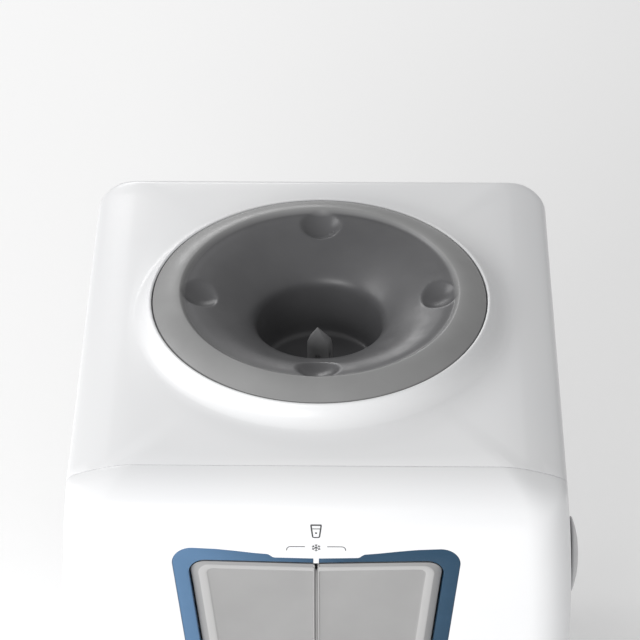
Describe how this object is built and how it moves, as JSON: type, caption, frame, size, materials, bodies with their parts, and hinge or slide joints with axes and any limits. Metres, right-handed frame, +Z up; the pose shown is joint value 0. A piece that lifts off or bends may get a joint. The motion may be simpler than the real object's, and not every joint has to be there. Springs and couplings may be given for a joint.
{
  "type": "countertop water dispenser",
  "caption": "White countertop bottled-water dispenser: grey lift-out bottle funnel with piercing spike, two push keys in blue bands, glass niche with drip tray, rear condenser.",
  "frame": {"origin": "on the counter under the rubber feet, at the centre of the footprint", "axes": "+Z up, the front with the keys faces -Y, +X to the right seen from the front (the thermostat knob's side)"},
  "size_m": [0.3186, 0.354, 0.4098],
  "materials": {
    "white_cover": "smooth injection-moulded white ABS, satin gloss",
    "coated_steel": "pale powder coat",
    "dark_steel": "dark powder coat",
    "zinc_steel": "zinc plated sheet",
    "niche_grey": "fine satin moulded grey",
    "light_blue": "moulded light blue, satin",
    "dark_blue": "moulded dark blue, satin",
    "plain_white": "natural white moulding",
    "key_grey": "silver-grey moulding, fine satin",
    "bright_steel": "bright steel",
    "silicone": "translucent milky silicone",
    "funnel_grey": "satin grey moulding",
    "stainless": "spun stainless steel",
    "copper": "drawn copper, dull",
    "foam": "beaded expanded polystyrene",
    "black_rubber": "moulded rubber",
    "knob_grey": "satin light grey",
    "black_enamel": "semi-gloss black enamel",
    "black_plastic": "moulded black plastic",
    "ivory_plastic": "ivory moulding",
    "grille_grey": "satin grey moulding"
  },
  "bodies": {
    "cabinet": {"top_cover": "white_cover", "front_panel": "white_cover", "left_side_panel": "white_cover", "right_side_panel": "white_cover", "rear_panel": "coated_steel", "base_pan": "dark_steel", "tank_shelf": "zinc_steel", "niche_liner": "niche_grey", "natural_bezel": "light_blue", "cold_bezel": "dark_blue", "tap_carrier": "plain_white", "key_pins": "bright_steel", "natural_tap_body": "plain_white", "cold_tap_body": "plain_white", "natural_tap_spring": "bright_steel", "cold_tap_spring": "bright_steel", "tap_cap_nuts": "plain_white", "natural_spout": "plain_white", "cold_spout": "plain_white", "tap_hoses": "silicone", "hose_clamps": "bright_steel", "cold_tank": "stainless", "tank_lid": "plain_white", "tank_baffle": "plain_white", "evaporator_coil": "copper", "foam_front": "foam", "foam_rear": "foam", "drain_hose": "silicone", "drain_spout": "plain_white", "thermostat_body": "zinc_steel", "thermostat_bulb": "copper", "compressor_shell": "black_enamel", "compressor_grommets": "black_rubber", "compressor_bolts": "zinc_steel", "relay_cover": "black_plastic", "suction_tube": "copper", "capillary_tube": "copper", "filter_drier": "copper", "condenser_tube": "black_enamel", "condenser_wires": "black_enamel", "condenser_brackets": "black_plastic", "cord_gland": "black_plastic", "terminal_block": "ivory_plastic", "cover_screws": "bright_steel", "feet": "black_rubber"},
    "funnel": {"bottle_funnel": "funnel_grey", "bottle_spike": "funnel_grey", "funnel_seal": "silicone"},
    "natural_lever": {"natural_key": "key_grey"},
    "cold_lever": {"cold_key": "key_grey"},
    "natural_valve": {"natural_plunger": "light_blue", "natural_tap_seal": "silicone"},
    "cold_valve": {"cold_plunger": "dark_blue", "cold_tap_seal": "silicone"},
    "knob": {"thermostat_knob": "knob_grey"},
    "tray": {"drip_tray": "niche_grey"},
    "grille": {"drip_grille": "grille_grey"},
    "drain_stopper": {"drain_cap": "plain_white", "drain_cap_seal": "black_rubber"}
  },
  "joints": [
    {"name": "funnel_lift", "type": "slide", "parent": "cabinet", "child": "funnel", "axis": [0, 0, 1], "range_m": [0, 0.11]},
    {"name": "natural_key_press", "type": "hinge", "parent": "cabinet", "child": "natural_lever", "pos_m": [0, -0.161, 0.336], "axis": [1, 0, 0], "range_deg": [0, 7], "stiffness_Nm_per_rad": 2, "springref_deg": -8.59},
    {"name": "natural_valve_travel", "type": "slide", "parent": "cabinet", "child": "natural_valve", "axis": [0, 1, 0], "range_m": [0, 0.0072], "deforming": ["natural_tap_spring"]},
    {"name": "cold_key_press", "type": "hinge", "parent": "cabinet", "child": "cold_lever", "pos_m": [0, -0.161, 0.336], "axis": [1, 0, 0], "range_deg": [0, 7], "stiffness_Nm_per_rad": 2, "springref_deg": -8.59},
    {"name": "cold_valve_travel", "type": "slide", "parent": "cabinet", "child": "cold_valve", "axis": [0, 1, 0], "range_m": [0, 0.0072], "deforming": ["cold_tap_spring"]},
    {"name": "thermostat_turn", "type": "hinge", "parent": "cabinet", "child": "knob", "pos_m": [0.1569, -0.112, 0.292], "axis": [1, 0, 0], "range_deg": [0, 270]},
    {"name": "tray_pull", "type": "slide", "parent": "cabinet", "child": "tray", "axis": [0, -1, 0], "range_m": [0, 0.1]},
    {"name": "grille_lift", "type": "slide", "parent": "tray", "child": "grille", "axis": [0, 0, 1], "range_m": [0, 0.03]},
    {"name": "drain_cap_pull", "type": "slide", "parent": "cabinet", "child": "drain_stopper", "axis": [0, 1, 0], "range_m": [0, 0.03]}
  ],
  "couplings": [
    {"joint": "natural_valve_travel", "follows": "natural_key_press", "m_per_rad": 0.056},
    {"joint": "cold_valve_travel", "follows": "cold_key_press", "m_per_rad": 0.056}
  ]
}
